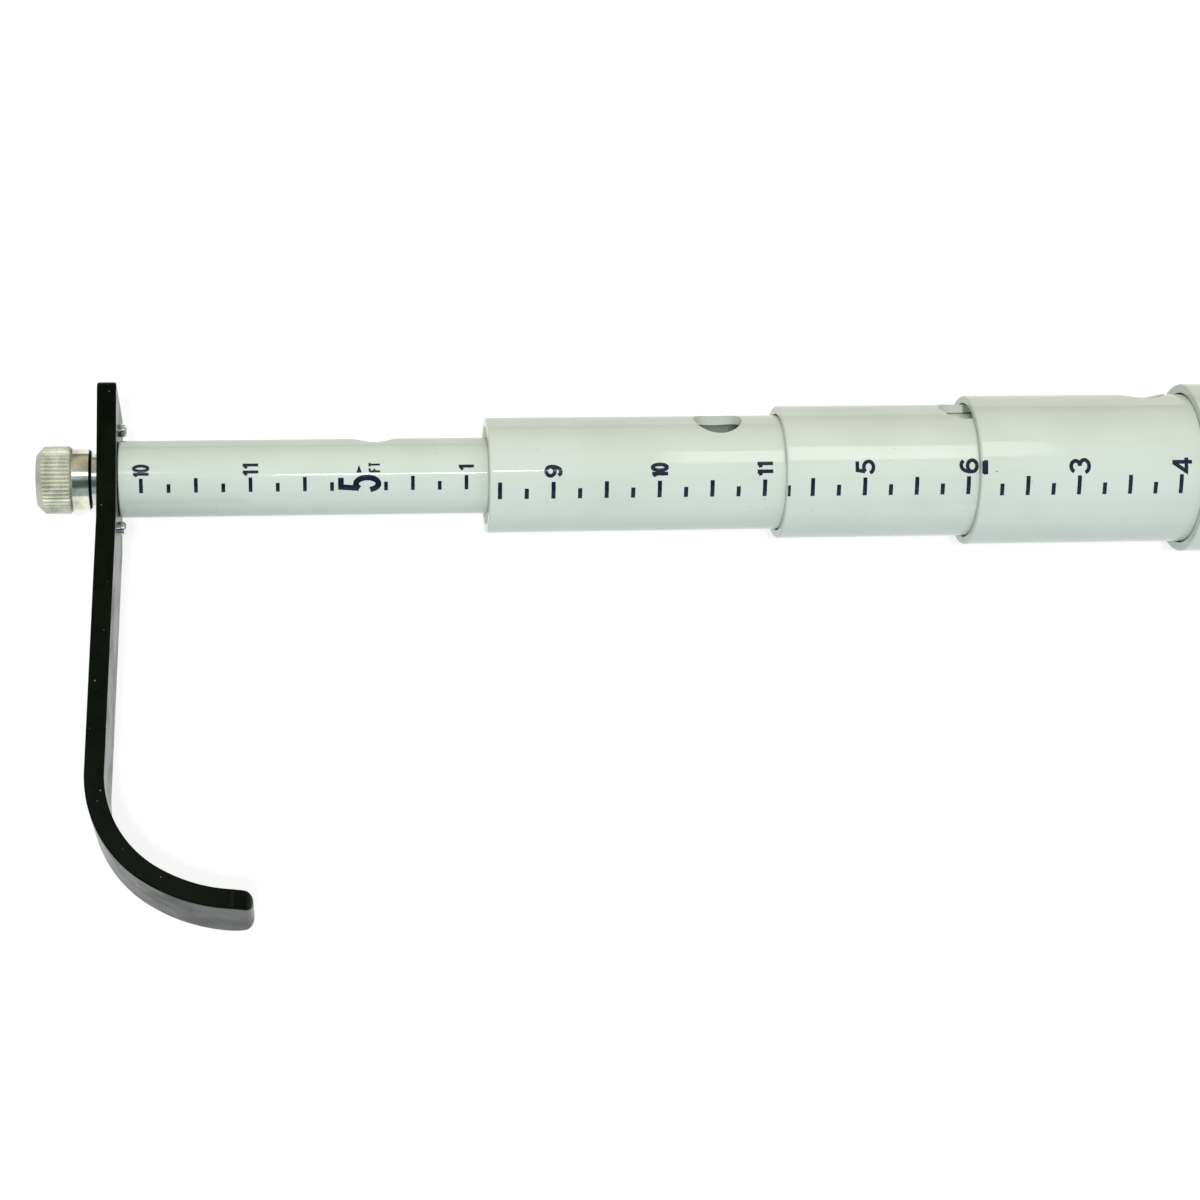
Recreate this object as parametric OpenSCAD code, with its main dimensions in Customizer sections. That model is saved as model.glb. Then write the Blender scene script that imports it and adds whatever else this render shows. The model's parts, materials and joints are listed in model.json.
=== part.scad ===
// Telescopic measuring rod: five nested round tubes, locked by spring buttons,
// with a steel J hook clamped to the thinnest tube by a knurled thumb screw.
// The rod lies along X. The centre of the foot's end face is the origin, the
// tubes run towards -X, +Z is up, and the hook reaches out to the -Y side.

/* [Tubes] */
// Outside diameter of the tip tube
tip_od = 18.2; // [14:0.1:24]
// Wall of the tip tube
tip_wall = 2; // [1.2:0.05:3]
// Wall of the bush in the fourth tube's mouth
bush_wall = 2.55; // [1.5:0.05:4]
// Wall of the fourth tube
fourth_wall = 2.1; // [1.2:0.05:3]
// Wall of the third tube
third_wall = 1.95; // [1.2:0.05:3]
// Wall of the second tube
second_wall = 1.85; // [1.2:0.05:3]
// Wall of the base tube
base_wall = 2.2; // [1.4:0.05:3.5]
// Radial gap between one tube and the next
tube_gap = 0.3; // [0.2:0.05:0.6]
// Height of the base tube's rim above the foot
base_rim = 1295; // [900:5:1500]
// Length of second tube that stands out of the base tube when pushed in
second_out = 55.1; // [52:0.1:90]
// Length of third tube that stands out of the second tube when pushed in
third_out = 46.8; // [40:0.1:90]
// Length of fourth tube that stands out of the third tube when pushed in
fourth_out = 70.9; // [62:0.1:110]
// Length of tip tube that stands out of the fourth tube when pushed in
tip_out = 86.8; // [75:0.1:130]
// Bevel on the outer edge of each rim
rim_bevel = 0.6; // [0.2:0.1:1]

/* [Lock holes] */
// Diameter of the lock hole near the rim of each tube
hole_d = 11.7; // [9:0.1:12.5]
// Distance from the tip tube's end to its lock hole
tip_hole_at = 60.2; // [40:0.1:66]
// Distance from the fourth tube's rim to its lock hole
fourth_hole_at = 55.9; // [44:0.1:62]
// Distance from the third tube's rim to its lock hole
third_hole_at = 45.5; // [38:0.1:60]
// Distance from the second tube's rim to its lock hole
second_hole_at = 45.3; // [38:0.1:60]
// Distance from the base tube's rim to its lock hole
base_hole_at = 45.3; // [38:0.1:60]
// Direction of the tip tube's lock hole, turned up from +Y
tip_hole_turn = 11; // [0:1:90]
// Direction of the fourth tube's lock hole, turned up from +Y
fourth_hole_turn = 47; // [0:1:90]
// Direction of the third tube's lock hole, turned up from +Y
third_hole_turn = 44; // [0:1:90]
// Direction of the second tube's lock hole, turned up from +Y
second_hole_turn = 26; // [0:1:90]
// Direction of the base tube's lock hole, turned up from +Y
base_hole_turn = 40; // [0:1:90]

/* [Plugs and glide rings] */
// Length of the foot plug's flange
foot_flange = 6; // [3:0.5:15]
// Length of foot plug inside the base tube
foot_in = 34; // [20:1:60]
// Thickness of the foot plug's floor above its flange
foot_floor = 6; // [3:0.5:12]
// Wall of the foot plug's cup
foot_wall = 4; // [2:0.5:8]
// Bevel on the lower edge of each plug
plug_bevel = 1; // [0.5:0.1:1.5]
// Empty length between parked plugs
park_gap = 8; // [4:0.5:20]
// Length of a guide plug's head, below its tube
head_len = 34; // [32:1:50]
// Length of a guide plug's shank, inside its tube
shank_len = 22; // [16:1:40]
// Radial gap between a plug's head and the bore round it
head_gap = 0.4; // [0.3:0.05:0.6]
// Radial running gap of a glide ring in the bore round it
ring_gap = 0.08; // [0.05:0.01:0.1]
// Width of a glide ring
ring_w = 6; // [4:0.5:7]
// Depth of the glide ring's groove in the plug
ring_depth = 1.6; // [1.2:0.1:2]
// Distance from the plug's lower end to the ring's groove
ring_at = 4; // [3:0.5:5]
// Split in the glide ring
ring_split = 2; // [1:0.5:4]
// Diameter of the cross pin through a tube and its plug
pin_d = 3; // [2:0.5:4]
// Length of the mouth bush
bush_len = 30; // [15:1:40]
// Radial running gap between the bush and the tip tube
bush_gap = 0.1; // [0.06:0.01:0.1]

/* [Lock buttons] */
// Diameter of a lock button
button_d = 10.8; // [8:0.1:11]
// Length of a lock button
button_len = 8; // [7:0.1:8.5]
// Radius of a lock button's round top
button_round = 8; // [7:0.1:9]
// How far a lock button can be pressed in
button_travel = 2.5; // [1:0.1:2.6]
// Gap between a lock button's top and the bore over it
button_clear = 0.15; // [0.1:0.05:0.3]
// Radial running gap of a lock button in its pocket
button_gap = 0.06; // [0.04:0.01:0.1]
// Thickness of a lock button over its spring
button_skin = 2.5; // [1.5:0.1:3]
// Depth left in a pocket under a pressed button
pocket_spare = 0.4; // [0.2:0.1:0.8]
// Outside diameter of a button spring
spring_d = 7.6; // [6:0.1:7.8]
// Radial gap of a button spring in its button
cup_gap = 0.3; // [0.1:0.05:0.5]
// Wire of a button spring
spring_wire = 0.8; // [0.5:0.05:1]

/* [Hook] */
// Width of the hook's flat bar
bar_w = 25.4; // [16:0.1:32]
// Thickness of the hook's flat bar
bar_t = 4.5; // [3:0.1:6]
// Length of bar above the rod's axis
bar_top = 20.4; // [18:0.1:30]
// Rounding of the bar's upper corners
bar_corner = 2.5; // [1:0.1:6]
// Distance below the rod's axis where the shank starts to lean out
lean_from = 14; // [12:0.5:20]
// Lean of the shank away from the rod
lean = 2.2; // [0:0.1:4]
// Distance below the rod's axis where the first bend starts
bend_from = 74.5; // [60:0.5:120]
// Inside radius of the first bend
bend_r = 25; // [15:0.5:35]
// Direction, from straight down, where the first bend ends
bend_to = 57; // [40:1:65]
// Inside radius of the wide bend
sweep_r = 36; // [25:0.5:50]
// Direction, from straight down, where the wide bend ends
sweep_to = 88; // [75:1:90]
// Straight length at the hook's end
hook_end = 3; // [2:0.1:10]
// Bevel on both edges of the hook's end
end_bevel = 1.2; // [0.3:0.1:1.5]
// Radius of the corners at the hook's end, seen from outside
hook_corner = 3.5; // [1:0.1:8]
// Diameter of the two locating pins
locator_d = 3.2; // [2:0.1:4]
// Radial gap between the locating pins and the tip tube
locator_gap = 1.7; // [0.2:0.1:2.5]
// Length of locating pin that stands out of the bar
locator_out = 1.7; // [1:0.1:4]
// Bevel on the end of a locating pin
locator_bevel = 0.5; // [0.2:0.1:0.9]

/* [Thumb screw] */
// Diameter of the knurled head
head_d = 15.9; // [12:0.1:20]
// Length of the knurled head
knob_len = 8.5; // [5:0.1:14]
// Number of ridges in the knurl
ridges = 48; // [30:1:60]
// Depth of the knurl
ridge_depth = 0.55; // [0.3:0.05:0.8]
// Bevel at the ends of the knurled head
head_bevel = 0.9; // [0.3:0.1:1.5]
// Bevel on the outer end of the screw's head
head_end_bevel = 1.8; // [0.5:0.1:2]
// Diameter of the plain collar under the head
collar_d = 14.5; // [11:0.1:15]
// Length of the plain collar
collar_len = 4.3; // [2:0.1:8]
// Bevel on the collar's edge at the washer
collar_bevel = 0.6; // [0.2:0.1:1]
// Diameter of the screw's thread
thread_d = 6.35; // [5:0.05:8]
// Pitch of the screw's thread
pitch = 1.27; // [0.8:0.01:1.5]
// Number of threads in the tip tube
threads = 14; // [8:1:18]
// Depth of the thread
thread_depth = 0.7; // [0.4:0.05:0.8]
// Radial clearance of the screw in its holes
screw_gap = 0.1; // [0.08:0.01:0.3]
// Outside diameter of the lock washer
washer_d = 12.4; // [10.5:0.1:14]
// Thickness of the lock washer
washer_t = 1.5; // [1:0.1:2.5]
// Split in the lock washer
washer_split = 1.4; // [0.8:0.1:2.5]
// Slant of the lock washer's split
washer_slant = 28; // [0:1:35]
// Length of the threaded insert in the tip tube
insert_len = 28; // [24:1:40]
// Gap between faces that meet but turn on each other
face_gap = 0.08; // [0.05:0.01:0.15]

/* [Hidden] */
$fn = 96;

// Tubes are counted from the base: 0 base, 1 second, 2 third, 3 fourth, 4 tip
walls = [base_wall, second_wall, third_wall, fourth_wall, tip_wall];
outs = [base_rim, second_out, third_out, fourth_out, tip_out];
holes_at = [base_hole_at, second_hole_at, third_hole_at, fourth_hole_at, tip_hole_at];
hole_turns = [base_hole_turn, second_hole_turn, third_hole_turn, fourth_hole_turn, tip_hole_turn];
fourth_bore = tip_od + 2 * (bush_gap + bush_wall);
fourth_od = fourth_bore + 2 * fourth_wall;
third_od = fourth_od + 2 * (tube_gap + third_wall);
second_od = third_od + 2 * (tube_gap + second_wall);
base_od = second_od + 2 * (tube_gap + base_wall);
ods = [base_od, second_od, third_od, fourth_od, tip_od];
function bore(k) = ods[k] - 2 * walls[k];

// Heights above the foot
plug_pitch = head_len + shank_len + park_gap;
function rim(k) = k == 0 ? outs[0] : rim(k - 1) + outs[k];
function plug_foot(k) = foot_flange + foot_in + park_gap + (k - 1) * plug_pitch;
function tube_foot(k) = k == 0 ? foot_flange : plug_foot(k) + head_len;

// Lock button: its height above the plug's lower end, and radii from the rod's axis
button_at = ring_at + ring_w + (head_len - ring_at - ring_w) / 2;
pocket_d = button_d + 2 * button_gap;
cup_d = spring_d + 2 * cup_gap;
spring_gap = 0.1;
function button_top(k) = bore(k - 1) / 2 - button_clear;
function button_foot(k) = button_top(k) - button_len;
function pocket_floor(k) = button_foot(k) - button_travel - pocket_spare;

// Length by which a cross pin stays below the tube's surface
pin_short = 0.05;
// Hook, washer and screw: distances from the rod's axis, then from the tip tube's rim
insert_bore_r = thread_d / 2 + screw_gap;
bar_hole_r = thread_d / 2 + 2 * screw_gap;
locator_at = tip_od / 2 + locator_gap + locator_d / 2;
bar_in = face_gap;
bar_out = bar_in + bar_t;
washer_in = bar_out + face_gap;
collar_in = washer_in + washer_t + face_gap;
knob_in = collar_in + collar_len;
// How far a cutting shape reaches past the face it cuts
over = 1;

// Places children on the rod's axis at a height above the foot, with their
// +Z along the rod towards the tip and their +Y up
module on_rod(height) {
    translate([-height, 0, 0]) rotate([90, 0, -90]) children();
}

// Turns a radial part's +X to a direction measured up from the row's +Y
module facing(turn) {
    rotate([0, 0, 180 - turn]) children();
}

module ring_solid(r_in, r_out, z0, z1) {
    translate([0, 0, z0]) difference() {
        cylinder(h = z1 - z0, r = r_out);
        translate([0, 0, -over]) cylinder(h = z1 - z0 + 2 * over, r = r_in);
    }
}

// Cross pin through a tube and its plug, or the hole for it
module cross_pin(length) {
    rotate([0, 90, 0]) translate([0, 0, -length / 2])
        cylinder(h = length, d = pin_d, $fn = 48);
}

function pin_height(k) = k == 0 ? foot_flange + foot_in / 2 : tube_foot(k) + shank_len / 2;

module tube(k) {
    length = rim(k) - tube_foot(k);
    r_out = ods[k] / 2;
    r_in = bore(k) / 2;
    color("honeydew") difference() {
        on_rod(tube_foot(k)) rotate_extrude() polygon([
            [r_in, 0],
            [r_out, 0],
            [r_out, length - rim_bevel],
            [r_out - rim_bevel, length],
            [r_in, length]
        ]);
        on_rod(rim(k) - holes_at[k]) facing(hole_turns[k]) rotate([0, 90, 0])
            cylinder(h = r_out + over, d = hole_d, $fn = 64);
        on_rod(pin_height(k)) facing(90) cross_pin(ods[k] + 2 * over);
    }
}

module foot_plug() {
    color("dimgray") difference() {
        on_rod(0) union() {
            rotate_extrude() polygon([
                [0, 0],
                [base_od / 2 - plug_bevel, 0],
                [base_od / 2, plug_bevel],
                [base_od / 2, foot_flange],
                [0, foot_flange]
            ]);
            cylinder(h = foot_flange + foot_in, d = bore(0));
        }
        on_rod(foot_flange + foot_floor) cylinder(h = foot_in, d = bore(0) - 2 * foot_wall);
        on_rod(pin_height(0)) facing(90) cross_pin(base_od + 2 * over);
    }
}

// Guide plug: shank pressed into the tube, head running in the next tube
module guide_plug(k) {
    head_r = bore(k - 1) / 2 - head_gap;
    groove_r = head_r - ring_depth;
    groove_top = ring_at + ring_w + 2 * ring_gap;
    color("darkslategray") difference() {
        on_rod(plug_foot(k)) union() {
            rotate_extrude() polygon([
                [0, 0],
                [head_r - plug_bevel, 0],
                [head_r, plug_bevel],
                [head_r, ring_at],
                [groove_r, ring_at],
                [groove_r, groove_top],
                [head_r, groove_top],
                [head_r, head_len],
                [0, head_len]
            ]);
            cylinder(h = head_len + shank_len, d = bore(k));
        }
        on_rod(plug_foot(k) + button_at) facing(hole_turns[k - 1]) rotate([0, 90, 0])
            translate([0, 0, pocket_floor(k)])
                cylinder(h = head_r + over - pocket_floor(k), d = pocket_d, $fn = 64);
        on_rod(pin_height(k)) facing(90) cross_pin(ods[k] + 2 * over);
    }
}

module pin_of(k) {
    color("silver") on_rod(pin_height(k)) facing(90) cross_pin(ods[k] - 2 * pin_short);
}

module glide_ring(k) {
    groove_r = bore(k - 1) / 2 - head_gap - ring_depth;
    color("ivory") on_rod(plug_foot(k) + ring_at + ring_gap) difference() {
        ring_solid(groove_r + ring_gap, bore(k - 1) / 2 - ring_gap, 0, ring_w);
        facing(-90) translate([0, -ring_split / 2, -over])
            cube([bore(k - 1), ring_split, ring_w + 2 * over]);
    }
}

// Lock button: a cup with a round top, its open end down over the spring
module lock_button(k) {
    color("gainsboro") on_rod(plug_foot(k) + button_at) facing(hole_turns[k - 1])
        rotate([0, 90, 0]) difference() {
            intersection() {
                translate([0, 0, button_foot(k)])
                    cylinder(h = button_len, d = button_d, $fn = 64);
                translate([0, 0, button_top(k) - button_round])
                    sphere(r = button_round, $fn = 96);
            }
            translate([0, 0, button_foot(k) - over])
                cylinder(h = button_len + over - button_skin, d = cup_d, $fn = 64);
        }
}

module button_spring(k) {
    color("silver") on_rod(plug_foot(k) + button_at) facing(hole_turns[k - 1])
        rotate([0, 90, 0]) ring_solid(
            spring_d / 2 - spring_wire, spring_d / 2,
            pocket_floor(k), button_top(k) - button_skin - spring_gap
        );
}

module mouth_bush() {
    color("whitesmoke") on_rod(rim(3) - bush_len)
        ring_solid(tip_od / 2 + bush_gap, bore(3) / 2, 0, bush_len);
}

module threaded_insert() {
    color("lightsteelblue") on_rod(rim(4) - insert_len)
        ring_solid(insert_bore_r, bore(4) / 2, 0, insert_len);
}

// Frame of the hook: +X down its shank, +Z out of the tip
module at_hook() {
    on_rod(rim(4)) rotate([0, 0, -hook_drop]) children();
}

// The bar's edge outline is drawn with x down the shank and y out of the tip.
// Directions along it are measured from straight down, turning to the rod.
function outward(turn) = [sin(turn), cos(turn)];
function along(turn) = [cos(turn), -sin(turn)];
bend_start = [bend_from, bar_in + (bend_from - lean_from) * tan(lean)];
bend_c = bend_start - bend_r * outward(-lean);
sweep_c = bend_c + (bend_r - sweep_r) * outward(bend_to);
sweep_end = sweep_c + sweep_r * outward(sweep_to);
// Each length of bar laps into the next, with a small step between their faces
bar_lap = 1;
bar_step = 0.03;

// Turn of the hook below level that lays its far edge on the floor, like the base tube
hook_low = (sweep_end + bar_t * outward(sweep_to) + hook_end * along(sweep_to))[0];
hook_drop = asin(base_od / 2 / norm([hook_low, bar_w / 2])) - atan(bar_w / 2 / hook_low);

module bent_bar(centre, r_in, r_out, turn_a, turn_b) {
    far = 3 * r_out;
    intersection() {
        translate(centre) difference() {
            circle(r = r_out, $fn = 180);
            circle(r = r_in, $fn = 180);
        }
        translate(centre) polygon([
            [0, 0],
            far * outward(turn_a),
            far * outward((turn_a + turn_b) / 2),
            far * outward(turn_b)
        ]);
    }
}

module bar_outline() {
    shank_end = bend_start + bar_lap * along(-lean);
    sweep_start = bend_to - bar_lap / bend_r * 180 / PI;
    end_in = sweep_end + bar_step * outward(sweep_to);
    end_out = sweep_end + (bar_t - bar_step) * outward(sweep_to);
    tip_dir = along(sweep_to);
    polygon([
        [-bar_top, bar_in],
        [lean_from, bar_in],
        shank_end,
        shank_end + bar_t * outward(-lean),
        [lean_from, bar_out],
        [-bar_top, bar_out]
    ]);
    bent_bar(bend_c, bend_r - bar_step, bend_r + bar_t + bar_step, -lean, bend_to);
    bent_bar(sweep_c, sweep_r, sweep_r + bar_t, sweep_start, sweep_to);
    polygon([
        end_in - bar_lap * tip_dir,
        end_in + (hook_end - end_bevel) * tip_dir,
        end_in + hook_end * tip_dir + end_bevel * outward(sweep_to),
        end_out + hook_end * tip_dir - end_bevel * outward(sweep_to),
        end_out + (hook_end - end_bevel) * tip_dir,
        end_out - bar_lap * tip_dir
    ]);
}

// Width outline of the bar, wider than the hook is long, with its upper corners rounded
module bar_plan() {
    reach = 2 * bend_from;
    translate([bar_corner - bar_top, -bar_w / 2]) square([reach, bar_w]);
    translate([-bar_top, bar_corner - bar_w / 2]) square([reach, bar_w - 2 * bar_corner]);
    for (side = [-1, 1])
        translate([bar_corner - bar_top, side * (bar_w / 2 - bar_corner)])
            circle(r = bar_corner, $fn = 48);
}

// What is cut off a corner at the hook's end: the rounding is made of four flats
module end_corner() {
    r = hook_corner;
    reach = r / 5;
    outer = r + over;
    flats = [for (turn = [22.5, 45, 67.5]) r * [cos(turn), sin(turn)]];
    polygon(concat(
        [[r + reach / 5, -reach]],
        flats,
        [
            [-reach, r + reach / 5],
            [-reach, outer],
            [outer, outer],
            [outer, -reach]
        ]
    ));
}

module hook() {
    depth = sweep_r + bar_t + bend_from;
    color("dimgray") at_hook() difference() {
        intersection() {
            rotate([90, 0, 0]) translate([0, 0, -bar_w / 2 - over])
                linear_extrude(bar_w + 2 * over) bar_outline();
            translate([0, 0, -depth]) linear_extrude(2 * depth) bar_plan();
        }
        translate([0, 0, -over]) cylinder(h = bar_out + 2 * over, r = bar_hole_r, $fn = 64);
        for (side = [-1, 1])
            translate([side * locator_at, 0, -over])
                cylinder(h = bar_out + 2 * over, d = locator_d, $fn = 48);
        translate([sweep_end[0], 0, sweep_end[1]]) rotate([0, sweep_to, 0])
            for (side = [0, 1]) mirror([0, side, 0])
                translate([hook_end - hook_corner, bar_w / 2 - hook_corner, -over])
                    linear_extrude(bar_t + 2 * over) end_corner();
    }
}

module locating_pins() {
    color("silver") at_hook() for (side = [-1, 1])
        translate([side * locator_at, 0, bar_in - locator_out])
            rotate_extrude($fn = 48) polygon([
                [0, 0],
                [locator_d / 2 - locator_bevel, 0],
                [locator_d / 2, locator_bevel],
                [locator_d / 2, locator_out + bar_t],
                [0, locator_out + bar_t]
            ]);
}

module lock_washer() {
    color("silver") at_hook() difference() {
        ring_solid(bar_hole_r, washer_d / 2, washer_in, washer_in + washer_t);
        translate([0, 0, washer_in + washer_t / 2]) rotate([0, 0, 250])
            rotate([washer_slant, 0, 0]) translate([0, -washer_split / 2, -washer_d / 2])
                cube([washer_d, washer_split, washer_d]);
    }
}

// Knurled head, collar and threaded shank. The thread is a row of closed grooves.
module thumb_screw() {
    step = 360 / ridges;
    r_tip = head_d / 2;
    r_root = r_tip - ridge_depth;
    thread_foot = -threads * pitch;
    r_major = thread_d / 2;
    r_minor = r_major - thread_depth;
    color("lightyellow") at_hook() union() {
        translate([0, 0, knob_in]) intersection() {
            linear_extrude(knob_len) polygon([
                for (i = [0 : ridges - 1], half = [0, 1])
                    (half == 0 ? r_tip : r_root)
                        * [cos((i + half / 2) * step), sin((i + half / 2) * step)]
            ]);
            rotate_extrude() polygon([
                [0, 0],
                [r_tip - head_bevel, 0],
                [r_tip + over, head_bevel + over],
                [r_tip + over, knob_len - head_end_bevel - over],
                [r_tip - head_end_bevel, knob_len],
                [0, knob_len]
            ]);
        }
        rotate_extrude() polygon(concat(
            [[0, thread_foot - pitch], [r_minor - thread_depth / 2, thread_foot - pitch]],
            [for (i = [0 : threads - 1], part = [0 : 2])
                [part == 1 ? r_major : r_minor, thread_foot + (i + part / 3) * pitch]],
            [
                [r_minor, 0],
                [r_minor, collar_in],
                [collar_d / 2 - collar_bevel, collar_in],
                [collar_d / 2, collar_in + collar_bevel],
                [collar_d / 2, knob_in + over],
                [0, knob_in + over]
            ]
        ));
    }
}

tube(0);  // base_tube
tube(1);  // second_tube
tube(2);  // third_tube
tube(3);  // fourth_tube
tube(4);  // tip_tube
foot_plug();
guide_plug(1);  // second_plug
guide_plug(2);  // third_plug
guide_plug(3);  // fourth_plug
guide_plug(4);  // tip_plug
pin_of(0);  // foot_pin
pin_of(1);  // second_plug_pin
pin_of(2);  // third_plug_pin
pin_of(3);  // fourth_plug_pin
pin_of(4);  // tip_plug_pin
glide_ring(1);  // second_glide_ring
glide_ring(2);  // third_glide_ring
glide_ring(3);  // fourth_glide_ring
glide_ring(4);  // tip_glide_ring
lock_button(1);  // second_button
lock_button(2);  // third_button
lock_button(3);  // fourth_button
lock_button(4);  // tip_button
button_spring(1);  // second_button_spring
button_spring(2);  // third_button_spring
button_spring(3);  // fourth_button_spring
button_spring(4);  // tip_button_spring
mouth_bush();
threaded_insert();
hook();
locating_pins();
lock_washer();
thumb_screw();
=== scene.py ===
"""The looks of the telescopic measuring rod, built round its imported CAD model."""

import json
import math

import bmesh
import bpy
from mathutils import Matrix, Vector

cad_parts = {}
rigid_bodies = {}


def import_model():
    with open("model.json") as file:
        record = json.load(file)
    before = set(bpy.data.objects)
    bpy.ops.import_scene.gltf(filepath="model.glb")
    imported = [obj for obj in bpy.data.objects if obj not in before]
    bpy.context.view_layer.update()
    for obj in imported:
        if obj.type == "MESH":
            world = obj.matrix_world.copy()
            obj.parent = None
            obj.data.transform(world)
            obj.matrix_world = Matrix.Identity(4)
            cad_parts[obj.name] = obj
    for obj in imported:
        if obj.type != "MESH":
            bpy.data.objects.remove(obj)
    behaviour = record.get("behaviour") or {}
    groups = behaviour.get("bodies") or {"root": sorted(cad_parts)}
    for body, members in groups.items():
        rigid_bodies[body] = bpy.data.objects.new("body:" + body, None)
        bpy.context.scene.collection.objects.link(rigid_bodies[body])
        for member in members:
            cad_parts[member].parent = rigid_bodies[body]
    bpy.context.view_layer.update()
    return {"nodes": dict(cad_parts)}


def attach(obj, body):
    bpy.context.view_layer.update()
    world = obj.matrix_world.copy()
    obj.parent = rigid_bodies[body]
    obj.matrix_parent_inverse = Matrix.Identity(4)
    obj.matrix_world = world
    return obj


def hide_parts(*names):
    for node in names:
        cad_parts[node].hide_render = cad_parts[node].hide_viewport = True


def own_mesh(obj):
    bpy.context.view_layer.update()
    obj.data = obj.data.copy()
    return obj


MM = 0.001
MM_IN_METRE = 1000

# Sizes in millimetres, as in the CAD. Tubes count from the base: 0 base, 4 tip.
TUBES = ["base_tube", "second_tube", "third_tube", "fourth_tube", "tip_tube"]
BODIES = ["base", "second_section", "third_section", "fourth_section", "tip_section"]
OUTER = [41.5, 36.5, 32.2, 27.7, 18.2]
BORE = [37.1, 32.8, 28.3, 23.5, 14.2]
RIM = [1295.0, 1350.1, 1396.9, 1467.8, 1554.6]
FOOT = [6.0, 82.0, 146.0, 210.0, 274.0]
HOLE_AT = [45.3, 45.3, 45.5, 55.9, 60.2]
HOLE_TURN = [40.0, 26.0, 44.0, 47.0, 11.0]
HOLE_R = 5.85
TIP = 4
TIP_X = -RIM[TIP]
TO_TIP = Vector((-1.0, 0.0, 0.0))
TO_FOOT = Vector((1.0, 0.0, 0.0))

for thing in list(bpy.data.objects):
    bpy.data.objects.remove(thing)
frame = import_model()


class Sock:
    """A shader socket that can be used in Python sums."""

    def __init__(self, tree, out):
        self.tree = tree
        self.out = out

    def node(self, kind, out=0, props=None, **inputs):
        """Adds any node, sets its inputs by name or _number, and gives one of its outputs."""
        n = self.tree.nodes.new(kind)
        for key, value in (props or {}).items():
            setattr(n, key, value)
        for key, value in inputs.items():
            number = key[0] == "_" and key[1:].isdigit()
            where = int(key[1:]) if number else key.replace("_", " ")
            put(self.tree, n.inputs[where], value)
        return Sock(self.tree, n.outputs[out])

    def math(self, op, *others, first=None):
        """Adds a Math node. A value given as first goes before this one."""
        n = self.tree.nodes.new("ShaderNodeMath")
        n.operation = op
        terms = (self,) + others if first is None else (first, self)
        for i, value in enumerate(terms):
            put(self.tree, n.inputs[i], value)
        return Sock(self.tree, n.outputs[0])

    def __add__(self, o):
        return self.math("ADD", o)

    def __sub__(self, o):
        return self.math("SUBTRACT", o)

    def __mul__(self, o):
        return self.math("MULTIPLY", o)

    __radd__ = __add__
    __rmul__ = __mul__

    def __rsub__(self, o):
        return self.math("SUBTRACT", first=o)

    def step(self, low, high):
        """0 below low, 1 above high, and smooth between."""
        props = {"interpolation_type": "SMOOTHSTEP"}
        return self.node("ShaderNodeMapRange", props=props, Value=self, From_Min=low, From_Max=high)

    def mix(self, a, b):
        """Colour a where this is 0 and colour b where it is 1."""
        return self.node("ShaderNodeMix", out=2, props={"data_type": "RGBA"}, _0=self, _6=a, _7=b)


def put(tree, socket, value):
    """Links a socket to another one, or gives it a plain value."""
    if isinstance(value, Sock):
        tree.links.new(value.out, socket)
    elif isinstance(value, tuple) and socket.type == "RGBA":
        socket.default_value = (*value, 1.0)
    else:
        socket.default_value = value


class Finish:
    """A new material with its main shader and the piece's own coordinates in millimetres."""

    def __init__(self, name):
        self.material = bpy.data.materials.new(name)
        self.material.use_nodes = True
        self.tree = self.material.node_tree
        self.shader = self.tree.nodes["Principled BSDF"]
        place = self.tree.nodes.new("ShaderNodeTexCoord")
        metres = Sock(self.tree, place.outputs["Object"])
        props = {"operation": "SCALE"}
        self.mm = metres.node("ShaderNodeVectorMath", props=props, _0=metres, Scale=MM_IN_METRE)
        split = [self.mm.node("ShaderNodeSeparateXYZ", out=i, _0=self.mm) for i in range(3)]
        self.x, self.y, self.z = split

    def stretched(self, sx, sy, sz):
        """The coordinates multiplied along each axis."""
        props = {"operation": "MULTIPLY"}
        return self.mm.node("ShaderNodeVectorMath", props=props, _0=self.mm, _1=(sx, sy, sz))

    def noise(self, scale, detail=3.0, rough=0.55, where=None):
        """Noise about 0.5 with that many cells per millimetre."""
        where = where or self.mm
        values = {"Vector": where, "Scale": scale, "Detail": detail, "Roughness": rough}
        return where.node("ShaderNodeTexNoise", **values)

    def cells(self, scale):
        """Distance to the nearest of scattered points, in cells."""
        return self.mm.node("ShaderNodeTexVoronoi", Vector=self.mm, Scale=scale)

    def set(self, **inputs):
        """Sets or links the main shader's inputs."""
        for key, value in inputs.items():
            put(self.tree, self.shader.inputs[key.replace("_", " ")], value)
        return self

    def bump(self, height, depth):
        """Bump from a height of 0 to 1 that stands for depth millimetres."""
        n = height.node("ShaderNodeBump", Height=height, Distance=depth * MM, Strength=1.0)
        return self.set(Normal=n)


def srgb(r, g, b):
    """A colour picked as 0 to 255 screen values, turned into the shader's own."""
    parts = [c / 255 for c in (r, g, b)]
    return tuple(c / 12.92 if c <= 0.04045 else ((c + 0.055) / 1.055) ** 2.4 for c in parts)


# Tones are screen values from 0 to 255. A bump's depth is in millimetres.
STREAK_TONE = (176, 182, 170)
SPECK_TONE = (128, 126, 112)
WORN_INK_TONE = (34, 37, 58)
ENAMEL_TONE = (4, 9, 3)
ENAMEL_CLOUD_TONE = (12, 18, 10)
DUST_TONE = (150, 150, 138)
GROOVE_SHADE_TONE = (120, 120, 92)
RESIN_IOR = 1.5
COAT_DEPTH = 0.02
INK_DEPTH = 0.0015
PEEL_DEPTH = 0.02
SCRATCH_DEPTH = 0.004
GRAIN_DEPTH = 0.01


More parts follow.
